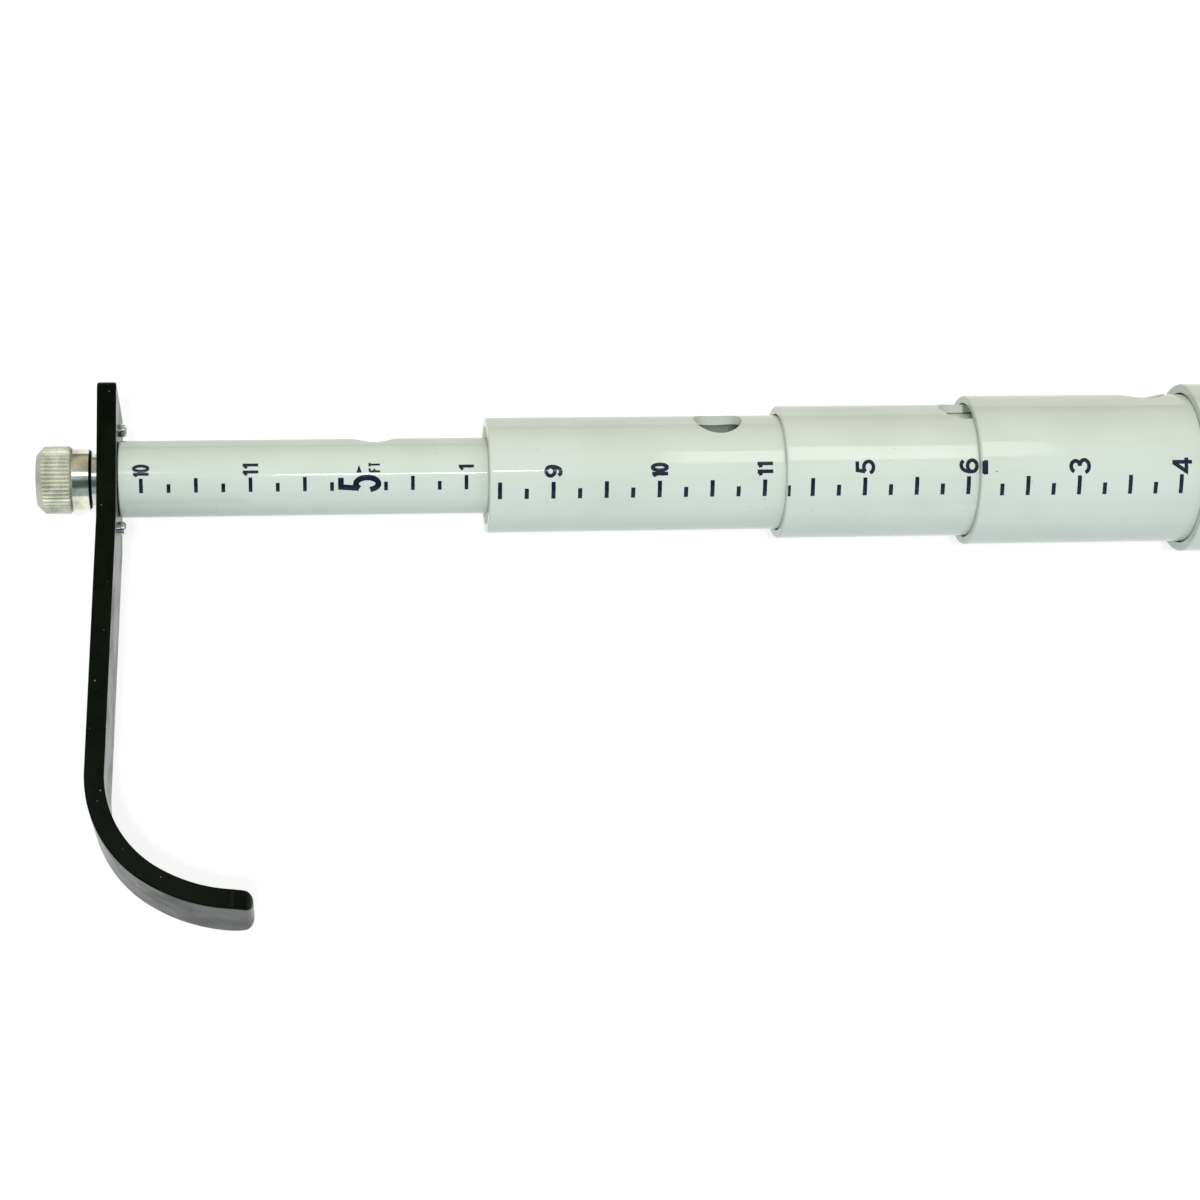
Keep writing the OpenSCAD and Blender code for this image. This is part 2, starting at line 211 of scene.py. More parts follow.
def gel_coat(name, tone, warm):
    """Glossy resin skin over glass fibre: faint clouds, drawn streaks, tiny pits and specks."""
    f = Finish(name)
    streaks = f.noise(0.9, 4.0, 0.6, f.stretched(0.02, 1.0, 1.0))
    clouds = f.noise(0.05, 2.0)
    body = clouds.step(0.35, 0.65).mix(srgb(*tone), srgb(*warm))
    body = (streaks.step(0.4, 0.8) * 0.05).mix(body, srgb(*STREAK_TONE))
    speck = 1 - f.cells(0.45).step(0.05, 0.10)
    rare = f.noise(0.11, 1.0).step(0.62, 0.66)
    body = (speck * rare * 0.55).mix(body, srgb(*SPECK_TONE))
    scuffs = f.noise(0.35, 5.0, 0.7, f.stretched(0.25, 1.0, 1.0)).step(0.55, 0.8)
    f.set(Base_Color=body, Roughness=0.07 + scuffs * 0.07, IOR=RESIN_IOR)
    waves = f.noise(0.14, 2.0, 0.5, f.stretched(0.35, 1.0, 1.0))
    grain = f.noise(1.6, 3.0)
    ripple = f.noise(0.45, 2.0, 0.5, f.stretched(0.9, 1.0, 1.0))
    return f.bump(waves * 0.5 + ripple * 0.16 + grain * 0.07, COAT_DEPTH)


def ink(name, tone):
    """Printed ink with the gel coat's gloss, a little uneven."""
    f = Finish(name)
    thin = f.noise(1.5, 4.0).step(0.3, 0.8)
    f.set(Base_Color=thin.mix(srgb(*tone), srgb(*WORN_INK_TONE)))
    f.set(Roughness=0.08 + f.noise(0.8).step(0.4, 0.7) * 0.1, IOR=RESIN_IOR)
    return f.bump(f.noise(1.6, 3.0), INK_DEPTH)


def black_enamel(name):
    """Baked black enamel on bar steel: faint clouds, slight orange peel and dust."""
    f = Finish(name)
    clouds = f.noise(0.08, 4.0, 0.6)
    body = clouds.step(0.35, 0.7).mix(srgb(*ENAMEL_TONE), srgb(*ENAMEL_CLOUD_TONE))
    dust = (1 - f.cells(0.55).step(0.06, 0.13)) * f.noise(0.25).step(0.52, 0.6)
    body = (dust * 0.6).mix(body, srgb(*DUST_TONE))
    f.set(Base_Color=body, Roughness=0.2 + clouds.step(0.4, 0.7) * 0.12 + dust * 0.3)
    f.set(Specular_IOR_Level=0.05)
    peel = f.noise(0.55, 3.0, 0.55)
    return f.bump(peel + dust * 0.3, PEEL_DEPTH)


def bright_metal(name, tone, rough, turned, scratch=SCRATCH_DEPTH):
    """Plated or turned metal with fine marks round the turning axis."""
    f = Finish(name)
    body = clouded_metal(f, tone)
    marks, dull = turning_marks(f, rough, turned)
    f.set(Base_Color=body, Metallic=0.95, Roughness=dull + rough)
    return f.bump(marks, scratch)


def clouded_metal(f, tone):
    """The metal's colour with darker clouds."""
    darker = tuple(c * 0.78 for c in tone)
    clouds = f.noise(0.25, 4.0, 0.6)
    return clouds.step(0.35, 0.75).mix(srgb(*tone), srgb(*darker))


def turning_marks(f, rough, turned):
    """Fine marks, and the roughness that they add."""
    marks = f.noise(1.2, 4.0, 0.6, f.stretched(6.0 if turned else 0.4, 0.5, 0.5))
    return marks, marks.step(0.4, 0.8) * rough * 0.8


# The knurl lies beyond this X. Its grooves and crests are at these radii.
KNURL_X = -1565.1
KNURL_FADE = 0.3
GROOVE_R = 7.45
CREST_R = 7.85


def knurled_nickel(name, tone, rough):
    """Nickel on a turned screw, dull in the grooves of its knurl and painted darker there as shade.
    """
    f = Finish(name)
    knurl = 1 - f.x.step(KNURL_X - KNURL_FADE, KNURL_X)
    # Painted shade: the colour darkens from the crests down into the knurl's grooves.
    painted_groove_shade = 1 - (f.y * f.y + f.z * f.z).step(GROOVE_R ** 2, CREST_R ** 2)
    body = (painted_groove_shade * knurl * 0.5).mix(clouded_metal(f, tone), srgb(*GROOVE_SHADE_TONE))
    marks, dull = turning_marks(f, rough, True)
    f.set(Base_Color=body, Metallic=1.0 - knurl * 0.75)
    f.set(Roughness=dull + rough + knurl * 0.14)
    return f.bump(marks, SCRATCH_DEPTH)


def moulded(name, tone, rough):
    """Moulded plastic with a fine satin grain."""
    f = Finish(name)
    worn = f.noise(0.12, 4.0, 0.6).step(0.5, 0.8)
    paler = tuple(min(255, c * 1.25 + 8) for c in tone)
    f.set(Base_Color=(worn * 0.5).mix(srgb(*tone), srgb(*paler)))
    f.set(Roughness=rough + f.noise(0.4).step(0.4, 0.7) * 0.12)
    return f.bump(f.noise(2.2, 4.0, 0.6), GRAIN_DEPTH)


# The floor's own colours in shader values, and its glow where it is seen or mirrored.
FLOOR_PALE = (0.56, 0.58, 0.59)
FLOOR_PALER = (0.6, 0.62, 0.61)
FLOOR_UNDER_GLOW = (0.24, 0.25, 0.25)
FLOOR_GLOW = 0.82


def floor_finish():
    """Pale floor: white to the camera and in what metal and gloss mirror of it."""
    f = Finish("white_floor")
    rays = f.tree.nodes.new("ShaderNodeLightPath").outputs
    camera = Sock(f.tree, rays["Is Camera Ray"])
    through = Sock(f.tree, rays["Is Transmission Ray"])
    mirrored = Sock(f.tree, rays["Is Glossy Ray"])
    seen = camera + through + mirrored
    glow = seen * FLOOR_GLOW
    tone = f.noise(0.02, 3.0).step(0.3, 0.7).mix(FLOOR_PALE, FLOOR_PALER)
    f.set(Base_Color=seen.mix(tone, FLOOR_UNDER_GLOW))
    f.set(Emission_Color=glow.mix((0.0, 0.0, 0.0), (1.0, 1.0, 1.0)))
    return f.set(Specular_IOR_Level=0.0, Roughness=0.9, Emission_Strength=1.0)


TUBE_COAT = gel_coat("tube_gel_coat", (208, 214, 206), (204, 210, 201))
TIP_COAT = gel_coat("tip_gel_coat", (207, 214, 206), (203, 210, 201))
INK = ink("scale_ink", (12, 13, 32))
ENAMEL = black_enamel("black_enamel")
NICKEL = knurled_nickel("screw_nickel", (236, 236, 216), 0.11)
SPRING_STEEL = bright_metal("washer_steel", (214, 218, 216), 0.14, False)
PIN_STEEL = bright_metal("pin_steel", (222, 226, 230), 0.1, True, 0.001)
BRASS = bright_metal("insert_brass", (200, 172, 104), 0.22, True)
NYLON = moulded("black_nylon", (34, 34, 36), 0.42)
BUSH = moulded("bush_grey", (176, 178, 166), 0.3)
ACETAL = moulded("button_acetal", (222, 222, 214), 0.32)


# Corners closer than this, in metres, become one.
WELD = 1e-7


class Shell:
    """Gathers corner points and faces of one mesh, in millimetres."""

    def __init__(self):
        self.points = []
        self.faces = []

    def ring(self, points):
        """Adds a row of points and gives their numbers."""
        first = len(self.points)
        self.points.extend(points)
        return list(range(first, first + len(points)))

    def band(self, a, b, closed=True):
        """Faces between two rows of points."""
        n = len(a)
        for i in range(n if closed else n - 1):
            j = (i + 1) % n
            self.faces.append((a[i], a[j], b[j], b[i]))

    def build(self, name, finish):
        """Makes the piece, with its faces turned outward."""
        mesh = bpy.data.meshes.new(name)
        mesh.from_pydata([(x * MM, y * MM, z * MM) for x, y, z in self.points], [], self.faces)
        b = bmesh.new()
        b.from_mesh(mesh)
        bmesh.ops.remove_doubles(b, verts=b.verts, dist=WELD)
        bmesh.ops.recalc_face_normals(b, faces=b.faces)
        b.to_mesh(mesh)
        b.free()
        return piece(name, mesh, finish)


def piece(name, mesh, finish):
    """Puts a smooth mesh with its finish into the scene."""
    mesh.materials.append(finish.material)
    for face in mesh.polygons:
        face.use_smooth = True
    obj = bpy.data.objects.new(name, mesh)
    bpy.context.scene.collection.objects.link(obj)
    return obj


def settle(obj):
    """Makes the modifiers' result the mesh itself."""
    view = bpy.context.evaluated_depsgraph_get()
    done = bpy.data.meshes.new_from_object(obj.evaluated_get(view))
    obj.modifiers.clear()
    obj.data = done


def cut(obj, *cutters):
    """Cuts the shapes of other meshes out of a piece."""
    for cutter in cutters:
        m = obj.modifiers.new("cut", "BOOLEAN")
        m.operation = "DIFFERENCE"
        m.solver = "EXACT"
        m.object = cutter
    settle(obj)
    for cutter in cutters:
        bpy.data.objects.remove(cutter)


def drill(name, start, way, radius, depth, finish, sides=72):
    """A round cutter from start along way."""
    way = Vector(way).normalized()
    side = way.orthogonal().normalized()
    up = way.cross(side)
    turns = [2 * math.pi * i / sides for i in range(sides)]
    spokes = [(side * math.cos(t) + up * math.sin(t)) * radius for t in turns]
    s = Shell()
    rows = []
    for d in (0.0, depth):
        mid = Vector(start) + way * d
        rows.append(s.ring([tuple(mid + spoke) for spoke in spokes]))
    s.band(*rows)
    s.faces.append(tuple(rows[0]))
    s.faces.append(tuple(reversed(rows[1])))
    return s.build(name, finish)


def quarter(centre, radius, start, end, steps):
    """Points of an arc in (height, radius) terms, with angles from the tip's direction."""
    out = []
    for i in range(steps + 1):
        a = math.radians(start + (end - start) * i / steps)
        out.append((centre[0] + radius * math.cos(a), centre[1] + radius * math.sin(a)))
    return out


# The rim's outer edge is rounded more than the other edges of a tube.
RIM_ROUND = 0.5
LIP_ROUND = 0.2
TUBE_SIDES = 240


def edge_arcs(k):
    """The four rounded edges of a tube's wall: centre, radius, first and last angle, steps."""
    r_out, r_in = OUTER[k] / 2, BORE[k] / 2
    low, high = FOOT[k], RIM[k]
    edge, lip = RIM_ROUND, LIP_ROUND
    return [
        ((high - edge, r_out - edge), edge, 90, 0, 4),
        ((high - lip, r_in + lip), lip, 0, -90, 3),
        ((low + lip, r_in + lip), lip, 270, 180, 3),
        ((low + lip, r_out - lip), lip, 180, 90, 3),
    ]


def across_rod(degrees):
    """The direction at an angle round the rod, measured up from +Y."""
    a = math.radians(degrees)
    return Vector((0.0, math.cos(a), math.sin(a)))


def make_tube(k):
    """A tube with rounded edges and its lock hole."""
    arcs = edge_arcs(k)
    profile = [point for one in arcs for point in quarter(*one)]
    turns = [2 * math.pi * i / TUBE_SIDES for i in range(TUBE_SIDES)]
    s = Shell()
    rows = [s.ring([(-h, r * math.cos(t), r * math.sin(t)) for t in turns]) for h, r in profile]
    for i, row in enumerate(rows):
        s.band(row, rows[(i + 1) % len(rows)])
    tube = s.build(TUBES[k] + "_skin", TIP_COAT if k == TIP else TUBE_COAT)
    way = across_rod(HOLE_TURN[k])
    hole = Vector((HOLE_AT[k] - RIM[k], 0, 0))
    cut(tube, drill("hole_cutter", hole, way, HOLE_R, OUTER[k] / 2 + 1, TUBE_COAT))
    true_normals(tube, arcs, hole, way)
    return tube


# How near, in millimetres, a corner is to a surface that it lies on.
ON_HOLE = 0.05
ON_EDGE = 0.02
# A face that leans further than this cosine from every surface keeps its own normal.
LEAST_MATCH = 0.85


def true_normals(tube, arcs, hole, way):
    """Gives each corner the normal of the round surface that it lies on."""
    mesh = tube.data
    normals = []
    for face in mesh.polygons:
        for v in face.vertices:
            ways = surface_normals(mesh.vertices[v].co * MM_IN_METRE, arcs, hole, way)
            best = max(ways, key=lambda w: w.dot(face.normal))
            fits = best.dot(face.normal) > LEAST_MATCH
            normals.append(best if fits else face.normal.copy())
    mesh.normals_split_custom_set(normals)


def surface_normals(p, arcs, hole, way):
    """The normals that a tube's surfaces could have at one of its corners."""
    r = math.hypot(p.y, p.z)
    out = Vector((0.0, p.y / r, p.z / r))
    ways = [out, -out, TO_FOOT, TO_TIP]
    from_hole = p - hole
    across = from_hole - way * from_hole.dot(way)
    if across.length < HOLE_R + ON_HOLE:
        ways.append(-across.normalized())
    for (height, radius), size, *_ in arcs:
        arm = Vector((-p.x - height, r - radius, 0.0))
        if abs(arm.length - size) < ON_EDGE:
            ways.append((TO_TIP * arm.x + out * arm.y).normalized())
    return ways


# The hook in its own frame, in millimetres and degrees: x down the shank, z out of the tip.
BAR_T = 4.5
BAR_W = 25.4
BAR_TOP = 20.4
BAR_IN = 0.08
LEAN_FROM = 14.0
LEAN = 2.2
BEND_FROM = 74.5
BEND_R = 25.0
BEND_TO = 57.0
SWEEP_R = 36.0
SWEEP_TO = 88.0
HOOK_END = 3.0
TOP_CORNER = 2.5
END_CORNER = 5.4
TOP_EDGE = 0.9
END_EDGE = 2.0
EDGE_ROUND = 0.45
EDGE_SHARE = 0.9
EDGE_STEPS = 4
SCREW_HOLE_R = 3.375
LOCATOR_HOLE_R = 1.6
LOCATOR_AT = 12.4
DRILL_PAST = 2
DRILL_SIDES = 64
SHARP_TURN = 40
EVEN_WEIGHT = 90
# Places of the bar's sections near its two ends, and how many the rest has.
TOP_STEPS = (0.1, 0.25, 0.45, 0.8, 1.3, 1.9, 2.5, 6, 12, 20, 28)
END_STEPS = (0.4, 0.9, 1.3, 1.7, 2.0, 2.3, 2.55, 2.75, 2.9, 3.0)
SHANK_STEPS = 12
BEND_STEPS = 30
SWEEP_STEPS = 20


def outward(turn):
    """The way out of the bar's outer face, where it has turned that far."""
    a = math.radians(turn)
    return Vector((math.sin(a), 0.0, math.cos(a)))


def along(turn):
    """The way down the bar, where it has turned that far."""
    a = math.radians(turn)
    return Vector((math.cos(a), 0.0, -math.sin(a)))


lean_out = (BEND_FROM - LEAN_FROM) * math.tan(math.radians(LEAN))
bend_start = Vector((BEND_FROM, 0, BAR_IN + lean_out))
bend_centre = bend_start - BEND_R * outward(-LEAN)
sweep_centre = bend_centre + (BEND_R - SWEEP_R) * outward(BEND_TO)
sweep_end = sweep_centre + SWEEP_R * outward(SWEEP_TO)
hook_low = (sweep_end + BAR_T * outward(SWEEP_TO) + HOOK_END * along(SWEEP_TO)).x
# The hook slopes down by this angle in radians, so that its low end rests on the floor.
DROP = math.asin(OUTER[0] / 2 / math.hypot(hook_low, BAR_W / 2)) - math.atan(BAR_W / 2 / hook_low)
HOOK_X = Vector((0.0, -math.cos(DROP), -math.sin(DROP)))
HOOK_Y = Vector((0.0, -math.sin(DROP), math.cos(DROP)))
HOOK_Z = TO_TIP


def at_hook(p):
    """A point of the hook's own frame, given in the shared frame."""
    return tuple(Vector((TIP_X, 0, 0)) + HOOK_X * p[0] + HOOK_Y * p[1] + HOOK_Z * p[2])


def hook_path():
    """Inner-face points down the bar, each with its turn."""
    start = Vector((-BAR_TOP, 0, BAR_IN))
    knee = Vector((LEAN_FROM, 0, BAR_IN))
    stops = [(start, 0.0)]
    for d in TOP_STEPS:
        stops.append((start + Vector((d, 0, 0)), 0.0))
    stops.append((knee, -LEAN / 2))
    for i in range(1, SHANK_STEPS + 1):
        stops.append((knee.lerp(bend_start, i / SHANK_STEPS), -LEAN))
    for i in range(1, BEND_STEPS + 1):
        turn = -LEAN + (BEND_TO + LEAN) * i / BEND_STEPS
        stops.append((bend_centre + BEND_R * outward(turn), turn))
    for i in range(1, SWEEP_STEPS + 1):
        turn = BEND_TO + (SWEEP_TO - BEND_TO) * i / SWEEP_STEPS
        stops.append((sweep_centre + SWEEP_R * outward(turn), turn))
    for d in END_STEPS:
        stops.append((sweep_end + d * along(SWEEP_TO), SWEEP_TO))
    return stops


def bar_section(half_w, half_t, edge):
    """A rounded rectangle as (across, out) points about the bar's middle."""
    points = []
    for cx, cy, first in ((1, 1, 0), (-1, 1, 90), (-1, -1, 180), (1, -1, 270)):
        for i in range(EDGE_STEPS + 1):
            a = math.radians(first + 90 * i / EDGE_STEPS)
            across = cx * (half_w - edge) + edge * math.cos(a)
            points.append((across, cy * (half_t - edge) + edge * math.sin(a)))
    return points


def corner_loss(radius, reach):
    """How much a round corner takes off at a distance from the end."""
    if reach >= radius:
        return 0.0
    return radius - math.sqrt(max(0.0, radius ** 2 - (radius - reach) ** 2))


def drill_bar(hook):
    """The screw's hole and the locating pins' holes."""
    cutters = []
    for x, r in ((0.0, SCREW_HOLE_R), (LOCATOR_AT, LOCATOR_HOLE_R), (-LOCATOR_AT, LOCATOR_HOLE_R)):
        start = at_hook((x, 0, -DRILL_PAST))
        depth = BAR_T + 2 * DRILL_PAST
        cutters.append(drill("bar_cutter", start, HOOK_Z, r, depth, ENAMEL, DRILL_SIDES))
    cut(hook, *cutters)


def make_hook():
    """The bent bar as a row of sections, rounded at both ends and along its edges."""
    stops = hook_path()
    lengths = [0.0]
    for (a, _), (b, _) in zip(stops, stops[1:]):
        lengths.append(lengths[-1] + (b - a).length)
    s = Shell()
    rows = []
    for (p, turn), d in zip(stops, lengths):
        left = lengths[-1] - d
        half_w = BAR_W / 2 - corner_loss(TOP_CORNER, d) - corner_loss(END_CORNER, left)
        half_t = BAR_T / 2 - corner_loss(TOP_EDGE, d) - corner_loss(END_EDGE, left)
        edge = min(EDGE_ROUND, half_t * EDGE_SHARE)
        out = outward(turn)
        mid = p + out * (BAR_T / 2)
        section = bar_section(half_w, half_t, edge)
        rows.append(s.ring([at_hook(mid + out * o + Vector((0, w, 0))) for w, o in section]))
    for a, b in zip(rows, rows[1:]):
        s.band(a, b)
    s.faces.append(tuple(reversed(rows[0])))
    s.faces.append(tuple(rows[-1]))
    hook = s.build("hook_bar", ENAMEL)
    drill_bar(hook)
    even = hook.modifiers.new("edges", "WEIGHTED_NORMAL")
    even.keep_sharp = True
    even.weight = EVEN_WEIGHT
    for e in hook.data.edges:
        e.use_edge_sharp = False
    sharp_over(hook, SHARP_TURN)
    return hook


def sharp_over(obj, degrees):
    """Marks edges that turn by more than that as sharp."""
    b = bmesh.new()
    b.from_mesh(obj.data)
    for e in b.edges:
        if len(e.link_faces) == 2 and e.calc_face_angle(0.0) > math.radians(degrees):
            e.smooth = False
    b.to_mesh(obj.data)
    b.free()


def arc(cx, cy, rx, ry, a0, a1, n=14):
    """Points of an oval arc between two angles."""
    turns = [math.radians(a0 + (a1 - a0) * i / n) for i in range(n + 1)]
    return [(cx + rx * math.cos(t), cy + ry * math.sin(t)) for t in turns]


# The middle lines of plain figures, in a box that is 1 high.
GLYPH_W = 0.62
GLYPH_GAP = 0.16
ONE_SPAN = (0.14, 0.44)
SIX = [
    arc(0.31, 0.32, 0.25, 0.265, 0, 360, 24),
    [(0.06, 0.34), (0.065, 0.55), (0.11, 0.74), (0.20, 0.89), (0.33, 0.945),
     (0.46, 0.91), (0.54, 0.80)],
]
GLYPHS = {
    "0": [arc(0.31, 0.5, 0.25, 0.445, 0, 360, 28)],
    "1": [[(0.15, 0.75), (0.28, 0.80), (0.37, 0.90), (0.38, 0.97)], [(0.38, 0.98), (0.38, 0.0)]],
    "2": [arc(0.31, 0.70, 0.245, 0.245, 170, -38) + [(0.28, 0.32), (0.12, 0.18), (0.07, 0.06)],
          [(0.02, 0.055), (0.58, 0.055)]],
    "3": [arc(0.30, 0.72, 0.215, 0.22, 165, -88), arc(0.30, 0.285, 0.25, 0.235, 86, -168)],
    "4": [[(0.42, 0.95), (0.05, 0.28), (0.60, 0.28)], [(0.43, 0.0), (0.43, 0.98)]],
    "5": [[(0.56, 0.945), (0.17, 0.945), (0.115, 0.52)], arc(0.30, 0.32, 0.26, 0.27, 138, -165)],
    "6": SIX,
    "7": [[(0.04, 0.945), (0.57, 0.945), (0.40, 0.66), (0.29, 0.35), (0.24, 0.0)]],
    "8": [arc(0.31, 0.735, 0.205, 0.21, 0, 360, 22), arc(0.31, 0.29, 0.25, 0.235, 0, 360, 22)],
    "9": [[(GLYPH_W - x, 1 - y) for x, y in line] for line in SIX],
    "F": [[(0.08, 0.0), (0.08, 0.98)], [(0.08, 0.945), (0.56, 0.945)],
          [(0.08, 0.52), (0.48, 0.52)]],
    "T": [[(0.31, 0.0), (0.31, 0.9)], [(0.02, 0.945), (0.60, 0.945)]],
}
# How far print stands off its tube, and its steps along strokes and round the tube.
INK_LIFT = 0.012
STROKE_STEP = 0.4
TURN_STEP = 2.5
SAME_POINT = 0.001
# Where a stroke turns back on itself, it takes the next part's direction. Elsewhere its
# corners are drawn out, by twice its width at most.
TURNS_BACK = 0.3
LEAST_COSINE = 0.5


def finely(points):
    """The same path with more points on it."""
    fine = [points[0]]
    for a, b in zip(points, points[1:]):
        n = max(1, math.ceil((b - a).length / STROKE_STEP))
        fine.extend(a.lerp(b, i / n) for i in range(1, n + 1))
    return fine


def sideways(path, i, closed):
    """The way across a path at one of its points, and the cosine of half the turn there."""
    p = path[i]
    before = path[i - 1] if i else (path[-2] if closed else None)
    after = path[i + 1] if i + 1 < len(path) else (path[1] if closed else None)
    d1 = (p - before).normalized() if before is not None else (after - p).normalized()
    d2 = (after - p).normalized() if after is not None else d1
    mid = d1 + d2
    if mid.length < TURNS_BACK:
        mid = d2
    mid.normalize()
    side = Vector((-mid.y, mid.x))
    return side, side.dot(Vector((-d2.y, d2.x)))


class Print:
    """Marks printed on one round tube, placed by X from the tip rim and an angle."""

    def __init__(self, k):
        self.r = OUTER[k] / 2 + INK_LIFT
        self.shell = Shell()

    def at(self, x, turn):
        """The point at a place along the tube and an angle that starts at the hook's slope."""
        a = math.radians(turn) + DROP
        return (TIP_X + x, self.r * math.cos(a), self.r * math.sin(a))

    def patch(self, x0, x1, a0, a1):
        """A plain mark between two places along the tube and two angles."""
        n = max(2, math.ceil(abs(a1 - a0) / TURN_STEP))
        turns = [a0 + (a1 - a0) * i / n for i in range(n + 1)]
        rows = [self.shell.ring([self.at(x, t) for t in turns]) for x in (x0, x1)]
        self.shell.band(rows[0], rows[1], False)

    def line(self, points, x, turn, size, wide, thick):
        """A stroke of one width. Points are in the glyph's box, whose left foot is at x, turn."""
        mm = [Vector((u * size * wide, v * size)) for u, v in points]
        closed = (mm[0] - mm[-1]).length < SAME_POINT
        fine = finely(mm)
        rows = ([], [], [])
        for i, p in enumerate(fine):
            side, bend = sideways(fine, i, closed)
            reach = thick / 2 / max(LEAST_COSINE, bend)
            for row, f in zip(rows, (-1, 0, 1)):
                q = p + side * reach * f
                row.append(self.at(x - q.y, turn - math.degrees(q.x / self.r)))
        rings = [self.shell.ring(row) for row in rows]
        self.shell.band(rings[0], rings[1], False)
        self.shell.band(rings[1], rings[2], False)

    def word(self, text, x, middle, size, wide, thick, gap=GLYPH_GAP):
        """Glyphs read towards smaller angles, with their feet at x and centred on an angle."""
        spans = [ONE_SPAN if c == "1" else (0.0, GLYPH_W) for c in text]
        full = sum(b - a for a, b in spans) + gap * (len(text) - 1)
        turn = middle + math.degrees(full * size * wide / 2 / self.r)
        for c, (a, b) in zip(text, spans):
            shift = math.degrees(a * size * wide / self.r)
            for points in GLYPHS[c]:
                self.line(points, x, turn + shift, size, wide, thick)
            turn -= math.degrees((b - a + gap) * size * wide / self.r)

    def triangle(self, x0, x1, foot, apex):
        """A pointer from its foot's angle to its apex's angle."""
        steps = 5
        mid = (x0 + x1) / 2
        rows = []
        for i in range(steps):
            t = i / steps
            edge = (x1 - x0) / 2 * (1 - t)
            turn = foot + (apex - foot) * t
            rows.append(self.shell.ring([self.at(mid - edge, turn), self.at(mid + edge, turn)]))
        for a, b in zip(rows, rows[1:]):
            self.shell.band(a, b, False)
        tip = self.shell.ring([self.at(mid, apex)])
        self.shell.faces.append((rows[-1][0], rows[-1][1], tip[0]))


INCH = 25.4
TICKS_AN_INCH = 4
INCHES_A_FOOT = 12
MOST_INCHES = 62
# Each scale: X of its zero inch from the tip's rim, the feet there, the tick angles,
# the figures' angle, height and width, and the width of their strokes.
SCALES = {
    4: (-248.60, 4, (110.7, 131.8), 99.0, 3.7, 0.92, 0.74),
    3: (-126.71, 8, (118.6, 134.9), 107.8, 3.9, 0.98, 0.9),
    2: (49.57, 12, (116.9, 131.8), 107.6, 4.4, 1.1, 0.9),
    1: (152.55, 16, (116.5, 130.5), 109.0, 5.0, 1.08, 0.94),
}
FIGURE_FIT = {"10": 0.74, "11": 1.08}
PLAIN_FIT = 1.13
# Half a tick's width, and that on the tip tube, a tick's extra reach in degrees, and a
# short tick's share of a long one.
TICK_HALF = 0.5
TIP_TICK_HALF = 0.44
TICK_OVER = 0.4
SHORT_TICK = 0.6
# Marks start this far past the tube's rim, are cut off a little inside it, and end this
# far above the tube's foot.
PAST_RIM = 3
RIM_CUT = 0.15
ABOVE_FOOT = 5
# A tick this near to the rim moves in by the second value, off the rim's round edge.
NEAR_RIM = 0.3
CLEAR_RIM = 0.5
# The large foot number, by how many figures it has, the pointer over it and the word there.
BIG_AT = 5.1
BIG_HEIGHT = 9.9
BIG_WIDE = {1: 0.58, 2: 0.42}
BIG_STROKE = 1.35
BIG_GAP = 0.2
POINTER_ENDS = (-0.6, 0.7)
POINTER_HALF = 0.95
WORD_AT = 5.0
WORD_HEIGHT = 2.6
WORD_WIDE = 0.6
WORD_STROKE = 0.5
# A dark band in ink along the second tube's rim, partly the base of the figure cut off there and
# partly a painted rim shadow, and a speck.
RIM_SHADOW_AND_SPECK = [(204.5, 206.1, 104.5, 113.5), (208.05, 208.35, 112.2, 113.0)]


def print_foot(p, x, number, ticks, pointer):
    """A foot number across the ticks' angles, with its pointer and the word FT."""
    span = math.degrees(POINTER_HALF / p.r)
    centre = sum(ticks) / 2
    wide = BIG_WIDE[len(number)]
    p.word(number, x + BIG_AT, centre, BIG_HEIGHT, wide, BIG_STROKE, BIG_GAP)
    p.triangle(x + POINTER_ENDS[0], x + POINTER_ENDS[1], pointer + span, pointer - span)
    turn = pointer - span / 3
    p.word("FT", x + WORD_AT, turn, WORD_HEIGHT, WORD_WIDE, WORD_STROKE, BIG_GAP)


def print_scale(k):
    """Ticks each quarter inch, a figure each inch and a large number each foot."""
    zero, feet, (near, far), middle, size, wide, thick = SCALES[k]
    p = Print(k)
    first = RIM[TIP] - RIM[k]
    last = RIM[TIP] - FOOT[k] - ABOVE_FOOT
    half = TIP_TICK_HALF if k == TIP else TICK_HALF
    for n in range(TICKS_AN_INCH * MOST_INCHES):
        x = zero + INCH * n / TICKS_AN_INCH
        if x < first - PAST_RIM or x > last:
            continue
        if abs(x - first) < NEAR_RIM:
            x += CLEAR_RIM
        inch = n // TICKS_AN_INCH
        if n % (TICKS_AN_INCH * INCHES_A_FOOT) == 0:
            print_foot(p, x, str(feet + inch // INCHES_A_FOOT), (near, far), middle)
            continue
        start = near if n % 2 == 0 else far - SHORT_TICK * (far - near)
        p.patch(x - half, x + half, start - TICK_OVER, far + TICK_OVER)
        if n % TICKS_AN_INCH == 0:
            number = str(inch % INCHES_A_FOOT)
            fit = FIGURE_FIT.get(number, PLAIN_FIT)
            p.word(number, x + size / 2, middle, size, wide * fit, thick)
    # Painted rim shadow over the cut-off figure's base, and a speck, on the second tube.
    if k == 1:
        for mark in RIM_SHADOW_AND_SPECK:
            p.patch(*mark)
    marks = p.shell.build(TUBES[k].replace("tube", "scale"), INK)
    trim_print(marks, (TIP_X + first + RIM_CUT) * MM)
    return marks


